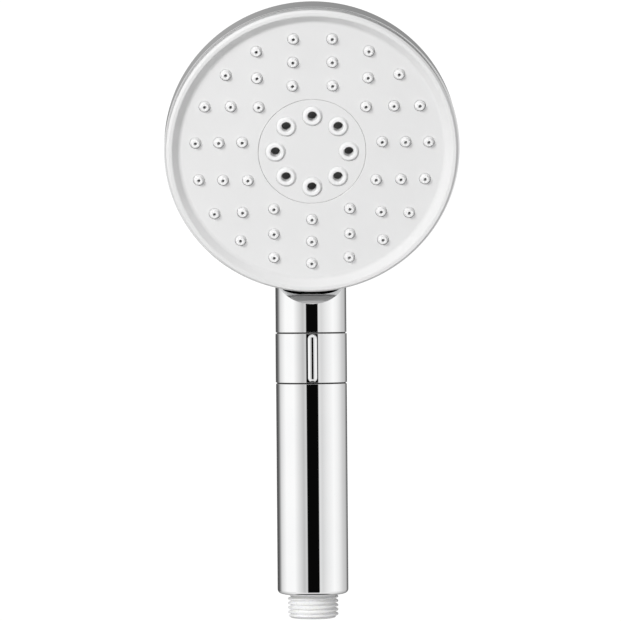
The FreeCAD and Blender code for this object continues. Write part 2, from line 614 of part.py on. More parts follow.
outer = dish("Outer", "P.headRad", ball, -D["shellFront"])
edges = [(i + 1, 2.4, 2.4) for i, e in enumerate(outer.Shape.Edges)
         if abs(edge_radius(e) - R60) < 0.01 and (e.CenterOfMass - head_point(0, 0, -D["shellFront"])).Length > 3]
rounded = doc.addObject("Part::Fillet", "OuterRounded")
rounded.Base = outer
rounded.Edges = edges
doc.recompute()
cavity = dish("Cavity", "P.headRad - P.shellWall", ball - wall, 20.0)


def bend(label, radius, low_z, turn):
    """Round bar: straight up to the bend, then leaning forward along an arc."""
    rb, zb = D["bendRad"], D["bendLow"]
    a, m = V(0, 0, low_z), V(0, 0, zb)
    h = math.radians(turn)
    end = V(0, -rb + rb * math.cos(h), zb + rb * math.sin(h))
    half = V(0, -rb + rb * math.cos(h / 2), zb + rb * math.sin(h / 2))
    path = Part.Wire([Part.LineSegment(a, m).toShape(), Part.Arc(m, half, end).toShape()])
    ring = Part.Wire([Part.Circle(a, V(0, 0, 1), radius).toShape()])
    o = doc.addObject("Part::Feature", label)
    o.Shape = path.makePipeShell([ring], True, False)
    return o


def front_wedge(label, drop, back):
    """Everything in front of the bevel plane."""
    slope = math.tan(math.radians(D["bevelAngle"]))
    z_at = lambda y: D["bevelLow"] - drop + (y + D["neckRad"]) * slope
    pts = [V(-40, -60, z_at(-60)), V(-40, back, z_at(back)), V(-40, back, 141.5), V(-40, -60, 141.5)]
    face = Part.Face(Part.makePolygon(pts + [pts[0]]))
    o = doc.addObject("Part::Feature", label)
    o.Shape = face.extrude(V(80, 0, 0))
    return o


neck = boolean("Cut", "NeckBevelled", bend("NeckBar", D["neckRad"], D["neckLow"], 58), front_wedge("BevelSpace", 0.0, -3.5))
hollow = boolean("Cut", "NeckHollow", bend("NeckVoid", D["neckBore"], D["neckLow"] - 1, 52), front_wedge("BevelBacking", 2.4, -1.9))
skin = boolean("Fuse", "HeadSkin", rounded, neck, False)
shell = boolean("Cut", "head_shell", boolean("Cut", "SkinNeckOpen", skin, hollow, False), cavity, False)
keep("head_shell", shell)

doc.recompute()
os.makedirs("parts", exist_ok=True)
for name, obj in nodes.items():
    bad = [s for s in obj.State if s in ("Invalid", "Error")]
    assert not bad, (name, obj.State)
    shape = obj.Shape
    assert not shape.isNull() and shape.isValid(), name
    assert shape.Solids, name
    print(name, len(shape.Solids), round(shape.Volume, 1), [round(x, 2) for x in (
        shape.BoundBox.XMin, shape.BoundBox.XMax, shape.BoundBox.YMin, shape.BoundBox.YMax, shape.BoundBox.ZMin, shape.BoundBox.ZMax)])
    shape.exportStep("parts/%s.step" % name)
for obj in doc.Objects:
    assert not [s for s in obj.State if s in ("Invalid", "Error")], (obj.Label, obj.State)
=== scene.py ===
import json
import math

import bmesh
import bpy
import numpy as np
from mathutils import Matrix, Vector


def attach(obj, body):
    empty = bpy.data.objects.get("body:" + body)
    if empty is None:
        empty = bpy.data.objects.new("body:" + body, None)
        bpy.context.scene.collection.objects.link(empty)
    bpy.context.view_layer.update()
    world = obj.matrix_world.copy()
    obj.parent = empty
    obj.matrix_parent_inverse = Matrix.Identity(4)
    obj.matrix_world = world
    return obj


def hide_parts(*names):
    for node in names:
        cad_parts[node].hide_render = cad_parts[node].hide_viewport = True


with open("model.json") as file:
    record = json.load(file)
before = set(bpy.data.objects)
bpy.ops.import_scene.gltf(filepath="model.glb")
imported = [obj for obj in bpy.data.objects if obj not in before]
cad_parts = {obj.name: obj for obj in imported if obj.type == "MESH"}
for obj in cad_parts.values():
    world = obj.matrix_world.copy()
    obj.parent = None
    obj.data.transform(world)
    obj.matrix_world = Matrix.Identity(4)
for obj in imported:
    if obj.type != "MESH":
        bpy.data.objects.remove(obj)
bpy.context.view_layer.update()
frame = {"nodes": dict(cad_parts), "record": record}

scene = bpy.context.scene
MM = 0.001
HEAD = Matrix.Translation((0.0, -0.031, 0.1913)) @ Matrix.Rotation(math.radians(108.8), 4, "X")
YAW = math.radians(2.0)


# ------------------------------------------------------------------ materials
def socket(node, name, value):
    node.inputs[name].default_value = value


def new_material(name):
    m = bpy.data.materials.new(name)
    m.use_nodes = True
    nt = m.node_tree
    nt.nodes.clear()
    out = nt.nodes.new("ShaderNodeOutputMaterial")
    sh = nt.nodes.new("ShaderNodeBsdfPrincipled")
    nt.links.new(sh.outputs["BSDF"], out.inputs["Surface"])
    return m, nt, sh


def noise(nt, scale, detail=3.0, rough=0.55):
    n = nt.nodes.new("ShaderNodeTexNoise")
    tc = nt.nodes.new("ShaderNodeTexCoord")
    nt.links.new(tc.outputs["Object"], n.inputs["Vector"])
    socket(n, "Scale", scale)
    socket(n, "Detail", detail)
    socket(n, "Roughness", rough)
    return n


def ramp(nt, src, stops):
    r = nt.nodes.new("ShaderNodeValToRGB")
    r.color_ramp.elements[0].position = stops[0][0]
    r.color_ramp.elements[0].color = stops[0][1]
    r.color_ramp.elements[1].position = stops[-1][0]
    r.color_ramp.elements[1].color = stops[-1][1]
    for pos, col in stops[1:-1]:
        e = r.color_ramp.elements.new(pos)
        e.color = col
    nt.links.new(src, r.inputs["Fac"])
    return r


def span(nt, src, low, high):
    m = nt.nodes.new("ShaderNodeMapRange")
    socket(m, "From Min", 0.3)
    socket(m, "From Max", 0.7)
    socket(m, "To Min", low)
    socket(m, "To Max", high)
    nt.links.new(src, m.inputs["Value"])
    return m


def bump(nt, sh, src, strength, distance):
    b = nt.nodes.new("ShaderNodeBump")
    socket(b, "Strength", strength)
    socket(b, "Distance", distance)
    nt.links.new(src, b.inputs["Height"])
    nt.links.new(b.outputs["Normal"], sh.inputs["Normal"])


def grey(v, a=1.0, tint=(1, 1, 1)):
    return (v * tint[0], v * tint[1], v * tint[2], a)


def chrome(name, low=0.90, high=0.93, r_low=0.012, r_high=0.035, wave=0.015):
    """Bright plating: faint cloudiness in tone and gloss, and the slight waviness of plated plastic."""
    m, nt, sh = new_material(name)
    n = noise(nt, 38.0, 4.0)
    c = ramp(nt, n.outputs["Fac"], [(0.3, grey(low, tint=(0.995, 1.0, 1.005))), (0.7, grey(high, tint=(1.0, 1.0, 1.0)))])
    nt.links.new(c.outputs["Color"], sh.inputs["Base Color"])
    socket(sh, "Metallic", 1.0)
    fine = noise(nt, 420.0, 2.0)
    nt.links.new(span(nt, fine.outputs["Fac"], r_low, r_high).outputs["Result"], sh.inputs["Roughness"])
    slow = noise(nt, 24.0, 1.0)
    bump(nt, sh, slow.outputs["Fac"], wave, 0.0006)
    return m


def plastic(name, low, high, r_low, r_high, scale=60.0, grain=900.0, depth=0.05, sss=0.0, tint=(1, 1, 1), coat=0.0):
    """Moulded plastic or rubber: soft tone drift, uneven gloss and a fine moulded grain."""
    m, nt, sh = new_material(name)
    n = noise(nt, scale, 3.0)
    c = ramp(nt, n.outputs["Fac"], [(0.3, grey(low, tint=tint)), (0.7, grey(high, tint=tint))])
    nt.links.new(c.outputs["Color"], sh.inputs["Base Color"])
    g = noise(nt, grain, 2.0)
    nt.links.new(span(nt, g.outputs["Fac"], r_low, r_high).outputs["Result"], sh.inputs["Roughness"])
    bump(nt, sh, g.outputs["Fac"], depth, 0.0001)
    if sss:
        socket(sh, "Subsurface Weight", sss)
        socket(sh, "Subsurface Radius", (0.0012, 0.0012, 0.0011))
        socket(sh, "Subsurface Scale", 1.0)
    if coat:
        socket(sh, "Coat Weight", coat)
        socket(sh, "Coat Roughness", 0.08)
    return m


MATS = {
    "chrome_head": chrome("head chrome"),
    "chrome_handle": chrome("handle chrome"),
    "chrome_ring": chrome("ring chrome"),
    "chrome_rib": chrome("rib chrome"),
    "white_face": plastic("white face", 0.81, 0.83, 0.15, 0.26, 45.0, 1400.0, 0.025),
    "white_disc": plastic("white centre", 0.81, 0.83, 0.15, 0.26, 45.0, 1400.0, 0.025),
    "soft_white": plastic("soft nozzle", 0.90, 0.93, 0.38, 0.55, 90.0, 1800.0, 0.06),
    "white_inlet": plastic("inlet plastic", 0.93, 0.96, 0.24, 0.38, 160.0, 1200.0, 0.06, sss=0.5),
    "grey_plastic": plastic("grey moulding", 0.52, 0.58, 0.35, 0.5, 80.0, 900.0, 0.12),
    "slip_plastic": plastic("slip plastic", 0.74, 0.80, 0.3, 0.42, 80.0, 900.0, 0.1, tint=(1.0, 0.98, 0.94)),
    "green_plastic": plastic("green moulding", 0.55, 0.62, 0.3, 0.45, 80.0, 900.0, 0.1, tint=(0.45, 1.0, 0.62)),
    "black_rubber": plastic("seal rubber", 0.018, 0.03, 0.45, 0.62, 120.0, 1500.0, 0.15),
    "steel": chrome("steel", 0.52, 0.60, 0.18, 0.32, 0.03),
}
slots = {s["node"]: s["material_slot"] for s in frame["record"]["subparts"]}
for name, ob in frame["nodes"].items():
    for k in range(len(ob.data.materials)):
        ob.data.materials[k] = MATS[slots[name]]
    if not len(ob.data.materials):
        ob.data.materials.append(MATS[slots[name]])

# ------------------------------------------------------------------ mesh helpers
UPRIGHT = Matrix.Identity(4)


def outline(corners, steps=5):
    """Closed outline from (radius, height, corner rounding) in millimetres.

    Gives its points, and for each run between two points the outward normal at both ends."""
    pts = [np.array(c[:2], float) for c in corners]
    rad = [c[2] if len(c) > 2 else 0.0 for c in corners]
    n = len(pts)
    area = sum(pts[i][0] * pts[(i + 1) % n][1] - pts[(i + 1) % n][0] * pts[i][1] for i in range(n))
    if area < 0:
        pts, rad = pts[::-1], rad[::-1]
    out, runs = [], []

    def unit(v):
        return v / np.linalg.norm(v)

    for i in range(n):
        p, a, b = pts[i], pts[i - 1], pts[(i + 1) % n]
        d0, d1 = unit(p - a), unit(b - p)
        n0, n1 = np.array([d0[1], -d0[0]]), np.array([d1[1], -d1[0]])
        if rad[i] <= 0:
            out.append((p, None))
            continue
        cos_t = float(np.clip(d0 @ d1, -1, 1))
        turn = math.acos(cos_t)
        t = rad[i] * math.tan(turn / 2)
        s = 1.0 if d0[0] * d1[1] - d0[1] * d1[0] > 0 else -1.0
        start = p - d0 * t
        mid = start - n0 * rad[i] * s
        for k in range(steps + 1):
            f = turn * k / steps * s
            nn = np.array([n0[0] * math.cos(f) - n0[1] * math.sin(f), n0[0] * math.sin(f) + n0[1] * math.cos(f)])
            out.append((mid + nn * rad[i] * s, nn))
    m = len(out)
    for i in range(m):
        p, q = out[i], out[(i + 1) % m]
        d = unit(q[0] - p[0])
        flat = np.array([d[1], -d[0]])
        a = p[1] if p[1] is not None and p[1] @ flat > 0.9 else flat
        b = q[1] if q[1] is not None and q[1] @ flat > 0.9 else flat
        runs.append((p[0], q[0], a, b))
    return [o[0] for o in out], runs


def lathe_mesh(name, pts, around_n, place=UPRIGHT):
    verts, faces, rings = [], [], []
    for r, z in pts:
        if r < 1e-6:
            rings.append([len(verts)] * around_n)
            verts.append((0, 0, z * MM))
        else:
            rings.append(list(range(len(verts), len(verts) + around_n)))
            for k in range(around_n):
                f = 2 * math.pi * k / around_n
                verts.append((r * MM * math.cos(f), r * MM * math.sin(f), z * MM))
    m = len(pts)
    for i in range(m):
        a, b = rings[i], rings[(i + 1) % m]
        if a[0] == a[1] and b[0] == b[1]:
            continue
        for k in range(around_n):
            k2 = (k + 1) % around_n
            if a[0] == a[1]:
                faces.append((a[0], b[k], b[k2]))
            elif b[0] == b[1]:
                faces.append((a[k2], a[k], b[0]))
            else:
                faces.append((a[k], b[k], b[k2], a[k2]))
    me = bpy.data.meshes.new(name)
    me.from_pydata([tuple(place @ Vector(v)) for v in verts], [], faces)
    tidy(me)
    return me


def tidy(me):
    bm = bmesh.new()
    bm.from_mesh(me)
    bmesh.ops.recalc_face_normals(bm, faces=bm.faces)
    bm.to_mesh(me)
    bm.free()
    me.update()


def boolean(me, other, op="DIFFERENCE"):
    """Exact boolean of two closed meshes; gives a new mesh."""
    a = bpy.data.objects.new("work_a", me)
    b = bpy.data.objects.new("work_b", other)
    scene.collection.objects.link(a)
    scene.collection.objects.link(b)
    mod = a.modifiers.new("cut", "BOOLEAN")
    mod.operation, mod.solver, mod.object = op, "EXACT", b
    dg = bpy.context.evaluated_depsgraph_get()
    new = bpy.data.meshes.new_from_object(a.evaluated_get(dg))
    bpy.data.objects.remove(a)
    bpy.data.objects.remove(b)
    return new


def joined(name, meshes):
    bm = bmesh.new()
    for m in meshes:
        bm.from_mesh(m)
    me = bpy.data.meshes.new(name)
    bm.to_mesh(me)
    bm.free()
    return me


def lathe_normals(runs, place=UPRIGHT):
    """Rule for the true normal of a turned surface, from the outline's run nearest to each face."""
    inv = np.array(place.inverted())
    rot = np.array(place)[:3, :3]
    A = np.array([r[0] for r in runs])
    B = np.array([r[1] for r in runs])
    NA = np.array([r[2] for r in runs])
    NB = np.array([r[3] for r in runs])
    AB = B - A
    LL = (AB ** 2).sum(1)

    def rule(centre, normal, corner, face_of):
        local = (centre @ inv[:3, :3].T + inv[:3, 3]) / MM
        rz = np.stack([np.hypot(local[:, 0], local[:, 1]), local[:, 2]], 1)
        best = np.full(len(rz), -1)
        gap = np.full(len(rz), 1e9)
        for i in range(len(runs)):
            t = np.clip(((rz - A[i]) @ AB[i]) / max(LL[i], 1e-12), 0, 1)
            d = np.linalg.norm(rz - (A[i] + t[:, None] * AB[i]), axis=1)
            hit = d < gap
            gap[hit], best[hit] = d[hit], i
        c = (corner @ inv[:3, :3].T + inv[:3, 3]) / MM
        cr = np.hypot(c[:, 0], c[:, 1])
        crz = np.stack([cr, c[:, 2]], 1)
        i = best[face_of]
        t = np.clip(((crz - A[i]) * AB[i]).sum(1) / np.maximum(LL[i], 1e-12), 0, 1)
        nn = NA[i] * (1 - t)[:, None] + NB[i] * t[:, None]
        nn /= np.maximum(np.linalg.norm(nn, axis=1), 1e-9)[:, None]
        safe = np.maximum(cr, 1e-9)
        out = np.stack([nn[:, 0] * c[:, 0] / safe, nn[:, 0] * c[:, 1] / safe, nn[:, 1]], 1) @ rot.T
        ok = ((out * normal[face_of]).sum(1) > 0.85) & (gap[face_of] < 0.12)
        return out, ok

    return rule


def shade(me, rules, sharp=30.0):
    """Smooth shading with the true normals where a rule knows them."""
    me.polygons.foreach_set("use_smooth", [True] * len(me.polygons))
    me.set_sharp_from_angle(angle=math.radians(sharp))
    nl, nf, nv = len(me.loops), len(me.polygons), len(me.vertices)
    base = np.zeros(nl * 3)
    me.corner_normals.foreach_get("vector", base)
    base = base.reshape(-1, 3)
    co = np.zeros(nv * 3)
    me.vertices.foreach_get("co", co)
    co = co.reshape(-1, 3)
    lv = np.zeros(nl, int)
    me.loops.foreach_get("vertex_index", lv)
    cen = np.zeros(nf * 3)
    me.polygons.foreach_get("center", cen)
    fn = np.zeros(nf * 3)
    me.polygons.foreach_get("normal", fn)
    tot = np.zeros(nf, int)
    me.polygons.foreach_get("loop_total", tot)
    face_of = np.repeat(np.arange(nf), tot)
    cen, fn = cen.reshape(-1, 3), fn.reshape(-1, 3)
    done = np.zeros(nl, bool)
    for rule in rules:
        out, ok = rule(cen, fn, co[lv], face_of)
        ok = ok & ~done
        base[ok] = out[ok]
        done |= ok
    me.normals_split_custom_set([tuple(v) for v in base])
    return float(done.mean())


def piece(name, me, node, body, slot_name):
    me.name = name
    me.materials.clear()
    me.materials.append(MATS[slot_name])
    ob = bpy.data.objects.new(name, me)
    scene.collection.objects.link(ob)
    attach(ob, body)
    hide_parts(node)
    return ob


def turned(name, corners, node, body, slot_name, around_n=256, place=UPRIGHT, cutters=(), steps=5):
    pts, runs = outline(corners, steps)
    me = lathe_mesh(name, pts, around_n, place)
    for c in cutters:
        me = boolean(me, c)
    shade(me, [lathe_normals(runs, place)])
    return piece(name, me, node, body, slot_name)


def drum(r, low, top, n=32, x=0.0, y=0.0, place=UPRIGHT, r_top=None):
    """Closed round cutter."""
    r_top = r if r_top is None else r_top
    return lathe_mesh("drum", [(0, low), (r, low), (r_top, top), (0, top)], n, place @ Matrix.Translation((x * MM, y * MM, 0)))


# ------------------------------------------------------------------ handle, ring and rib
turned("handle_tube", [(10.5, 10.1), (14.7, 10.1, 1.8), (14.7, 97.15, 0.12), (13.2, 97.15, 0.1), (13.2, 92.45), (13.7, 92.45), (13.7, 90.95),
                       (13.2, 90.95), (13.2, 12.3), (10.5, 12.3)], "handle_sleeve", "shower_body", "chrome_handle", 320, steps=10)


def capsule_loop(half, low_z, high_z, n=24):
    """Points (x, z) of an upright rounded bar."""
    pts = []
    for k in range(n + 1):
        f = math.pi * k / n
        pts.append((half * math.cos(f), high_z - HALF + half * math.sin(f)))
    for k in range(n + 1):
        f = math.pi + math.pi * k / n
        pts.append((half * math.cos(f), low_z + HALF + half * math.sin(f)))
    return pts


def stacked(name, layers, cap_top=True):
    """Closed mesh from loops of equal length, lowest first; the last loop may be a line."""
    verts, faces = [], []
    n = len(layers[0])
    for lay in layers:
        verts += [tuple(c * MM for c in v) for v in lay]
    for i in range(len(layers) - 1):
        for k in range(n):
            k2 = (k + 1) % n
            faces.append((i * n + k, i * n + k2, (i + 1) * n + k2, (i + 1) * n + k))
    faces.append(tuple(range(n))[::-1])
    if cap_top:
        faces.append(tuple(range((len(layers) - 1) * n, len(layers) * n)))
    me = bpy.data.meshes.new(name)
    me.from_pydata(verts, [], faces)
    bm = bmesh.new()
    bm.from_mesh(me)
    bmesh.ops.remove_doubles(bm, verts=bm.verts, dist=1e-7)
    bmesh.ops.dissolve_degenerate(bm, edges=bm.edges, dist=1e-8)
    bmesh.ops.recalc_face_normals(bm, faces=bm.faces)
    bm.to_mesh(me)
    bm.free()
    return me


HALF = 1.95
seat = stacked("seat", [[(x, y, z) for x, z in capsule_loop(1.95, 97.85, 117.75)] for y in (-14.05, -16.5)])
turned("ring_body", [(12.1, 98.5), (13.5, 98.5), (13.5, 97.7), (14.8, 97.7, 0.12), (14.8, 117.9, 0.12), (13.6, 117.9), (13.6, 117.1),
                     (12.1, 117.1), (12.1, 108.9), (12.95, 108.9), (12.95, 106.1), (12.1, 106.1)],
       "selector_ring", "selector", "chrome_ring", 320, cutters=[seat])

# Washers either side of the ring, each with a thin flange that closes the seam.
turned("washer_lower", [(12.25, 97.22), (14.3, 97.22, 0.1), (14.3, 97.65, 0.1), (13.3, 97.65), (13.3, 98.4), (12.25, 98.4)],
       "glide_washer_lower", "shower_body", "black_rubber", 256)
turned("washer_upper", [(12.25, 117.2), (13.3, 117.2), (13.3, 117.95), (14.3, 117.95, 0.1), (14.3, 118.38, 0.1), (12.25, 118.38)],
       "glide_washer_upper", "shower_body", "black_rubber", 256)

# Finger rib: a bead with a crowned face, its crest along the middle.
HALF = 1.85
CROWN, EDGE = 0.85, 0.16
arc_r = (1.85 ** 2 + CROWN ** 2) / (2 * CROWN)
layers = []
for depth in (-14.06, -14.7):
    layers.append([(x, depth, z) for x, z in capsule_loop(1.85, 97.95, 117.65)])
for k in range(6):
    f = math.pi / 2 * k / 5 * 0.62
    layers.append([(x, -15.10 + EDGE - EDGE * math.sin(f), z) for x, z in capsule_loop(1.85 - EDGE * (1 - math.cos(f)), 97.95, 117.65)])
edge_w = 1.85 - EDGE * (1 - math.cos(math.pi / 2 * 0.62))
for k in range(1, 13):
    w = edge_w * (1 - k / 12.0)
    y = -15.95 + arc_r - math.sqrt(arc_r ** 2 - w ** 2)
    layers.append([(x, y, z) for x, z in capsule_loop(w, 97.95, 117.65)])
me = stacked("rib_bead", layers, cap_top=False)
shade(me, [], 38.0)
piece("rib_bead", me, "selector_rib", "selector", "chrome_rib")

# ------------------------------------------------------------------ spray face, in the head's own frame (front is its +Z)
RINGS = [(28.7, 11), (38.1, 15), (47.5, 19)]
SPOTS = [(rad * math.cos(math.radians(270 + 360.0 * k / n)), rad * math.sin(math.radians(270 + 360.0 * k / n))) for rad, n in RINGS
         for k in range(n)]
JETS = [(14.9 * math.cos(math.radians(45.0 * k)), 14.9 * math.sin(math.radians(45.0 * k))) for k in range(8)]

holes = joined("holes", [drum(2.36, -9, 3, 40, x, y, HEAD) for x, y in SPOTS])
turned("spray_plate", [(21.9, -1.6, 0.28), (54.0, -1.6, 2.2), (56.9, 1.3, 1.1), (58.3, 1.4, 0.5), (59.2, 0.5, 0.5), (59.2, -1.85), (58.0, -1.85),
                       (58.0, -7.0), (56.4, -7.0), (56.4, -3.8), (21.9, -3.8)],
       "face_plate", "shower_body", "white_face", 384, HEAD, [holes], 8)
holes = joined("holes", [drum(4.14, -9, 3, 56, x, y, HEAD) for x, y in JETS])
turned("disc_cap", [(0, -4.0), (21.86, -4.0), (21.86, -1.75, 0.32), (0, -1.75)], "centre_disc", "shower_body", "white_disc", 256, HEAD, [holes])


def scattered(name, corners, spots, mat_ring, node, slot_name, n, bore, steps=6):
    """The same turned tip at many places, with the mat that joins them."""
    parts, rules = [], []
    for x, y in spots:
        place = HEAD @ Matrix.Translation((x * MM, y * MM, 0))
        pts, runs = outline(corners, steps)
        me = lathe_mesh(name, pts, n, place)
        shade(me, [lathe_normals(runs, place)])
        parts.append(me)
    pts, runs = outline(mat_ring, 3)
    me = boolean(lathe_mesh(name, pts, 192, HEAD), joined("bores", [drum(bore, -9, 3, 20, x, y, HEAD) for x, y in spots]))
    shade(me, [lathe_normals(runs, HEAD)])
    parts.append(me)
    verts, faces, normals = [], [], []
    for m in parts:
        off = len(verts)
        verts += [tuple(v.co) for v in m.vertices]
        faces += [tuple(off + i for i in p.vertices) for p in m.polygons]
        flat = np.zeros(len(m.loops) * 3)
        m.corner_normals.foreach_get("vector", flat)
        normals.append(flat.reshape(-1, 3))
    me = bpy.data.meshes.new(name)
    me.from_pydata(verts, [], faces)
    me.polygons.foreach_set("use_smooth", [True] * len(me.polygons))
    me.normals_split_custom_set([tuple(v) for v in np.concatenate(normals)])
    return piece(name, me, node, "shower_body", slot_name)


scattered("soft_tips", [(0.6, -4.6), (2.25, -4.6), (2.2, -1.75), (1.95, -1.5, 0.2), (1.52, -0.02, 0.2), (0.72, -0.02, 0.1), (0.6, -0.5)],
          SPOTS, [(22.2, -5.0), (54.0, -5.0), (54.0, -3.9), (22.2, -3.9)], "rain_nozzles", "soft_white", 40, 0.6)
scattered("jet_tips", [(1.95, -5.0), (4.1, -5.0), (4.08, -1.95), (3.85, -1.7, 0.3), (3.3, -0.9, 0.42), (2.3, -0.95, 0.25), (2.0, -1.4, 0.15), (1.95, -4.9)],
          JETS, [(0, -5.0), (21.6, -5.0), (21.6, -4.1), (0, -4.1)], "jet_nozzles", "soft_white", 56, 1.9)

# ------------------------------------------------------------------ head shell: neck, bevel, drum and dome
BEND_Z, BEND_R = 140.0, 30.0


def tube_rings(radius, low_z, turn, n, edge=0.0):
    rings = []
    if edge:
        for k in range(4):
            f = math.pi / 2 * k / 4
            rings.append((Vector((0, 0, low_z + edge * (1 - math.sin(f)))), Vector((0, 0, 1)), radius - edge * (1 - math.cos(f)), 0))
        rings = [(Vector((0, 0, low_z + edge - edge * math.cos(math.pi / 2 * k / 4))), 0.0, radius - edge + edge * math.sin(math.pi / 2 * k / 4))
                 for k in range(5)]
    else:
        rings = [(Vector((0, 0, low_z)), 0.0, radius)]
    z = math.ceil(low_z + 1.0)
    while z < BEND_Z:
        rings.append((Vector((0, 0, z)), 0.0, radius))
        z += 1.6
    count = int(turn / 1.5)
    for k in range(count + 1):
        h = math.radians(turn * k / count)
        rings.append((Vector((0, -BEND_R + BEND_R * math.cos(h), BEND_Z + BEND_R * math.sin(h))), h, radius))
    verts, faces = [], []
    for c, h, r in rings:
        for k in range(n):
            f = 2 * math.pi * k / n
            out = Vector((math.cos(f), math.sin(f) * math.cos(h), math.sin(f) * math.sin(h)))
            verts.append(tuple((c + out * r) * MM))
    for i in range(len(rings) - 1):
        for k in range(n):
            k2 = (k + 1) % n
            faces.append((i * n + k, i * n + k2, (i + 1) * n + k2, (i + 1) * n + k))
    faces.append(tuple(range(n))[::-1])
    faces.append(tuple(range((len(rings) - 1) * n, len(rings) * n)))
    me = bpy.data.meshes.new("neck")
    me.from_pydata(verts, [], faces)
    tidy(me)
    return me


def wedge(drop, back):
    """Everything in front of the bevel plane."""
    slope = math.tan(math.radians(40.0))
    z_at = lambda y: 130.1 - drop + (y + 14.7) * slope
    flat = [(-60, z_at(-60)), (back, z_at(back)), (back, 141.5), (-60, 141.5)]
    verts = [(x * MM, y * MM, z * MM) for x in (-40, 40) for y, z in flat]
    faces = [(0, 1, 2, 3), (7, 6, 5, 4)] + [(i, i + 4, (i + 1) % 4 + 4, (i + 1) % 4) for i in range(4)]
    me = bpy.data.meshes.new("wedge")
    me.from_pydata(verts, [], faces)
    tidy(me)
    return me


chord, sag = 57.8, 9.5
ball = (chord ** 2 + sag ** 2) / (2 * sag)
mid = -23.5 + ball


def dome_line(sphere, r_max, count):
    """Points along the dome from its edge to the middle."""
    pts = []
    for k in range(count + 1):
        r = r_max * (1 - k / count)
        pts.append((r, mid - math.sqrt(sphere ** 2 - r ** 2)))
    return pts


def dish_solid(radius, sphere, front, round_r, n, count, front_edge=0.0):
    edge_z = mid - math.sqrt(sphere ** 2 - radius ** 2)
    dome = dome_line(sphere, radius, count)
    corners = [(0, front), (radius, front, front_edge), (radius, edge_z, round_r)] + [(r, z, 0) for r, z in dome[1:] if r < radius - round_r - 0.5]
    if corners[-1][0] > 1e-6:
        corners.append((0, mid - sphere, 0))
    pts, runs = outline(corners, 10)
    return lathe_mesh("dish", pts, n, HEAD), runs


def sphere_rule(sphere, limit):
    c = np.array(HEAD @ Vector((0, 0, mid * MM)))
    inv = np.array(HEAD.inverted())

    def rule(centre, normal, corner, face_of):
        local = (corner @ inv[:3, :3].T + inv[:3, 3]) / MM
        d = (corner - c) / MM
        dist = np.linalg.norm(d, axis=1)
        out = d / dist[:, None]
        r = np.hypot(local[:, 0], local[:, 1])
        ok = (abs(dist - sphere) < 0.05) & (r < limit) & (local[:, 2] < -8) & ((out * normal[face_of]).sum(1) > 0.9)
        return out, ok

    return rule


def neck_rule(radius):
    def rule(centre, normal, corner, face_of):
        p = corner / MM
        y, z = p[:, 1] + BEND_R, p[:, 2] - BEND_Z
        h = np.arctan2(np.maximum(z, 0), y)
        axis = np.stack([np.zeros(len(p)), -BEND_R + BEND_R * np.cos(h), np.where(z > 0, BEND_Z + BEND_R * np.sin(h), p[:, 2])], 1)
        d = p - axis
        dist = np.linalg.norm(d, axis=1)
        out = d / np.maximum(dist, 1e-9)[:, None]
        ok = (abs(dist - radius) < 0.06) & ((out * normal[face_of]).sum(1) > 0.9)
        return out, ok

    return rule


outer, outer_runs = dish_solid(60.0, ball, -2.0, 2.4, 384, 48, 0.25)
inner, _ = dish_solid(58.4, ball - 1.6, 20.0, 0.0, 192, 24)
neck = boolean(tube_rings(14.7, 118.45, 58, 224, 0.12), wedge(0.0, -3.5))
void = boolean(tube_rings(12.3, 117.4, 52, 96), wedge(2.4, -1.9))
shell = boolean(outer, neck, "UNION")
shell = boolean(shell, void)
shell = boolean(shell, inner)
known = shade(shell, [sphere_rule(ball, 57.0), neck_rule(14.7), lathe_normals(outer_runs, HEAD)])
piece("head_skin", shell, "head_shell", "shower_body", "chrome_head")

# ------------------------------------------------------------------ threaded inlet: a real helix
PITCH, CREST, ROOT = 1.814, 10.478, 9.32


def thread_r(theta, z):
    """Radius of the thread at a bearing and height: rounded crests, fading in at the mouth and out at the top."""
    u = ((z - 0.6) / PITCH - theta / (2 * math.pi)) % 1.0
    w = abs(u - 0.5) * 2.0
    h = min(1.0, max(0.0, (0.80 - w) / 0.60))
    h = h * h * (3 - 2 * h)
    turns = (z - 0.6) / PITCH - theta / (2 * math.pi)
    fade = min(1.0, max(0.0, (z - 0.12) / 0.9)) * min(1.0, max(0.0, (9.75 - z) / 0.8))
    return ROOT + (CREST - ROOT - 0.02) * h * fade


N_A, N_Z = 168, 150
fixed_low = [(6.6, 8.2), (6.6, 0.35), (6.75, 0.1), (7.0, 0.0), (8.9, 0.0), (9.2, 0.08)]
fixed_top = [(9.32, 9.9), (10.2, 9.9), (10.2, 12.4), (12.9, 12.4), (12.9, 15.4), (10.2, 15.4), (10.2, 26.0), (7.7, 26.0), (7.7, 16.4), (4.6, 16.4), (4.6, 8.2)]
verts, faces = [], []
per = len(fixed_low) + N_Z + 1 + len(fixed_top)
for a in range(N_A):
    th = 2 * math.pi * a / N_A
    col = list(fixed_low)
    for k in range(N_Z + 1):
        z = 0.22 + (9.84 - 0.22) * k / N_Z
        col.append((thread_r(th, z), z))
    col += fixed_top
    verts += [(r * MM * math.cos(th), r * MM * math.sin(th), z * MM) for r, z in col]
for a in range(N_A):
    b = (a + 1) % N_A
    for k in range(per):
        k2 = (k + 1) % per
        faces.append((a * per + k, b * per + k, b * per + k2, a * per + k2))
me = bpy.data.meshes.new("inlet")
me.from_pydata(verts, [], faces)
tidy(me)
shade(me, [], 40.0)
piece("inlet_thread", me, "inlet_spigot", "shower_body", "white_inlet")

# ------------------------------------------------------------------ studio
def lin(v):
    """Display grey, 0 to 255, as linear light."""
    v = v / 255.0
    return v / 12.92 if v <= 0.04045 else ((v + 0.055) / 1.055) ** 2.4


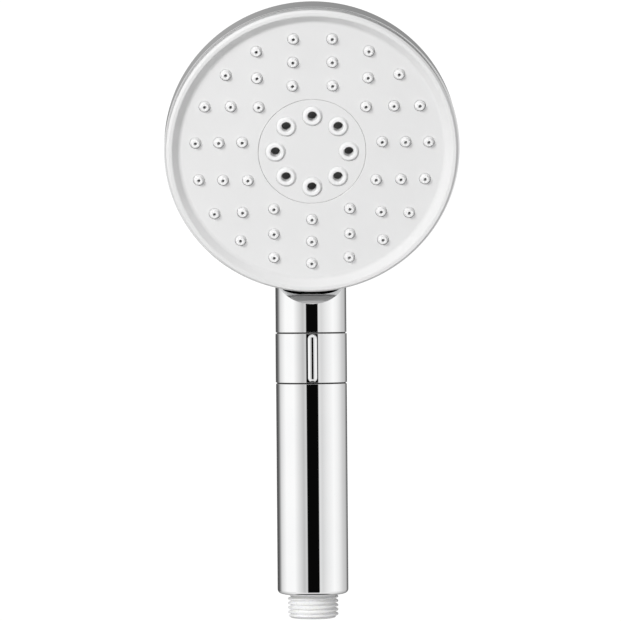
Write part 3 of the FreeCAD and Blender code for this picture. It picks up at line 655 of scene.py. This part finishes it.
world = bpy.data.worlds.new("studio")
scene.world = world
world.use_nodes = True
wt = world.node_tree
wt.nodes.clear()
W = wt.nodes.new
L = wt.links.new
w_out = W("ShaderNodeOutputWorld")
tc = W("ShaderNodeTexCoord")
rot = W("ShaderNodeVectorRotate")
rot.rotation_type = "Z_AXIS"
socket(rot, "Angle", YAW)
L(tc.outputs["Generated"], rot.inputs["Vector"])
sep = W("ShaderNodeSeparateXYZ")
L(rot.outputs["Vector"], sep.inputs["Vector"])


def calc(op, a, b=None, c=None, clamp=False):
    n = W("ShaderNodeMath")
    n.operation = op
    n.use_clamp = clamp
    for i, v in enumerate((a, b, c)):
        if v is None:
            continue
        if isinstance(v, (int, float)):
            n.inputs[i].default_value = v
        else:
            L(v, n.inputs[i])
    return n.outputs[0]


around = calc("ARCTAN2", sep.outputs["X"], calc("MULTIPLY", sep.outputs["Y"], -1.0))
turn = calc("MULTIPLY_ADD", around, 1.0 / (2 * math.pi), 0.5)
up = calc("ARCSINE", sep.outputs["Z"])

# Soft boxes, black flag and dim back of the studio, by bearing from the lens axis in degrees and display grey.
BAND = [(-180, 84), (-150, 84), (-140, 96), (-132, 140), (-121, 212), (-107, 234), (-93, 250), (-60, 251), (-27, 192), (-20, 203),
        (-17.2, 214), (-15.6, 14), (-12, 8), (18, 8), (21.2, 14), (23.0, 226), (27, 220), (33, 213), (50, 232), (75, 250), (92, 240),
        (104, 226), (118, 205), (137, 190), (150, 120), (160, 92), (180, 84)]
GAIN = 1.09
SOFT = 0.43


def band_ramp(stops):
    r = W("ShaderNodeValToRGB")
    r.color_ramp.interpolation = "LINEAR"
    cr = r.color_ramp
    pts = [((a + 180.0) / 360.0, grey(min(1.2, lin(v) * GAIN))) for a, v in stops]
    cr.elements[0].position, cr.elements[0].color = pts[0]
    cr.elements[1].position, cr.elements[1].color = pts[-1]
    for p, c in pts[1:-1]:
        e = cr.elements.new(p)
        e.color = c
    L(turn, r.inputs["Fac"])
    return r.outputs["Color"]


level = band_ramp(BAND)
# Above and below the band the flag fades out and the light is plain.
ABOVE = [(-180, 147), (-165, 160), (-150, 184), (-120, 215), (-90, 232), (-45, 238), (0, 232), (45, 232), (90, 225), (120, 200), (150, 160),
         (165, 140), (180, 147)]
BELOW = [(-180, 140), (-155, 158), (-125, 200), (-90, 232), (-45, 232), (0, 228), (45, 228), (90, 230), (125, 196), (155, 152), (180, 140)]


def fade_at(value, low, high):
    n = W("ShaderNodeMapRange")
    n.interpolation_type = "SMOOTHSTEP"
    socket(n, "From Min", math.radians(low))
    socket(n, "From Max", math.radians(high))
    L(value, n.inputs["Value"])
    return n.outputs["Result"]


def mixed(fac, a, b):
    n = W("ShaderNodeMix")
    n.data_type = "RGBA"
    L(fac, n.inputs["Factor"])
    L(a, n.inputs["A"])
    L(b, n.inputs["B"])
    return n.outputs["Result"]


# The flag in front is tall; the dim back of the studio is a low band.
tall = calc("LESS_THAN", calc("ABSOLUTE", around), math.radians(60))
down = calc("MULTIPLY", up, -1.0)
above = mixed(tall, mixed(fade_at(up, 2, 7), level, band_ramp(ABOVE)), mixed(fade_at(up, 24, 38), level, band_ramp(ABOVE)))
sides = mixed(tall, mixed(fade_at(down, 12, 22), above, band_ramp(BELOW)), mixed(fade_at(down, 24, 38), above, band_ramp(BELOW)))
NADIR = [(-180, 100), (0, 70), (180, 100)]
sky = mixed(fade_at(down, 54, 64), sides, band_ramp(NADIR))
back = W("ShaderNodeBackground")
L(sky, back.inputs["Color"])
white = W("ShaderNodeBackground")
socket(white, "Color", (1, 1, 1, 1))
socket(white, "Strength", 1.05)
lp = W("ShaderNodeLightPath")
pick = W("ShaderNodeMixShader")
L(lp.outputs["Is Camera Ray"], pick.inputs["Fac"])
soft = W("ShaderNodeBackground")
socket(soft, "Color", (1, 1, 1, 1))
socket(soft, "Strength", SOFT)
part_light = W("ShaderNodeMixShader")
L(lp.outputs["Is Diffuse Ray"], part_light.inputs["Fac"])
L(back.outputs["Background"], part_light.inputs[1])
L(soft.outputs["Background"], part_light.inputs[2])
L(part_light.outputs["Shader"], pick.inputs[1])
L(white.outputs["Background"], pick.inputs[2])
L(pick.outputs["Shader"], w_out.inputs["Surface"])


def area(name, place, aim, size, power, glossy=False):
    d = bpy.data.lights.new(name, "AREA")
    d.shape = "RECTANGLE"
    d.size, d.size_y = size
    d.energy = power
    o = bpy.data.objects.new(name, d)
    o.location = place
    o.rotation_euler = (Vector(aim) - Vector(place)).to_track_quat("-Z", "Y").to_euler()
    o.visible_camera = False
    o.visible_glossy = glossy
    scene.collection.objects.link(o)
    return o


area("key_left", (-0.78, -1.05, 0.62), (0, -0.02, 0.17), (0.4, 0.4), 11.4)
area("fill_front", (0.2, -1.3, 0.05), (0, -0.02, 0.15), (0.9, 0.9), 0.8)
area("fill_under", (0.05, -0.75, -0.55), (0, -0.02, 0.1), (0.6, 0.6), 1.8)

# Pale floor, well below the held object.
bm = bmesh.new()
bmesh.ops.create_circle(bm, cap_ends=True, segments=96, radius=1.5)
me = bpy.data.meshes.new("floor")
bm.to_mesh(me)
bm.free()
floor = bpy.data.objects.new("floor", me)
floor.location = (0, 0, -0.36)
scene.collection.objects.link(floor)
fm = bpy.data.materials.new("pale floor")
fm.use_nodes = True
ft = fm.node_tree
ft.nodes.clear()
fo = ft.nodes.new("ShaderNodeOutputMaterial")
fe = ft.nodes.new("ShaderNodeEmission")
socket(fe, "Color", (1, 1, 1, 1))
socket(fe, "Strength", 1.05)
fb = ft.nodes.new("ShaderNodeBsdfTransparent")
fg = ft.nodes.new("ShaderNodeNewGeometry")
fx = ft.nodes.new("ShaderNodeMixShader")
ft.links.new(fg.outputs["Backfacing"], fx.inputs["Fac"])
ft.links.new(fe.outputs["Emission"], fx.inputs[1])
ft.links.new(fb.outputs["BSDF"], fx.inputs[2])
ft.links.new(fx.outputs["Shader"], fo.inputs["Surface"])
me.materials.append(fm)
floor.visible_glossy = False
floor.visible_diffuse = False

# ------------------------------------------------------------------ camera
cam = bpy.data.cameras.new("camera")
cam.lens = 174.4
cam.sensor_width = 36.0
cam.clip_end = 20.0
eye = bpy.data.objects.new("camera", cam)
scene.collection.objects.link(eye)
look = Vector((math.sin(YAW), math.cos(YAW), 0.0))
side = Vector((math.cos(YAW), -math.sin(YAW), 0.0))
ROLL = math.radians(0.44)
place = -1.25 * look + Vector((0, 0, 0.12745)) - side * 0.00016
turn_m = Matrix((side, Vector((0, 0, 1)), -look)).transposed().to_4x4()
eye.matrix_world = Matrix.Translation(place) @ turn_m @ Matrix.Rotation(-ROLL, 4, "Z")
scene.camera = eye
scene.view_settings.view_transform = "Standard"
scene.view_settings.look = "None"
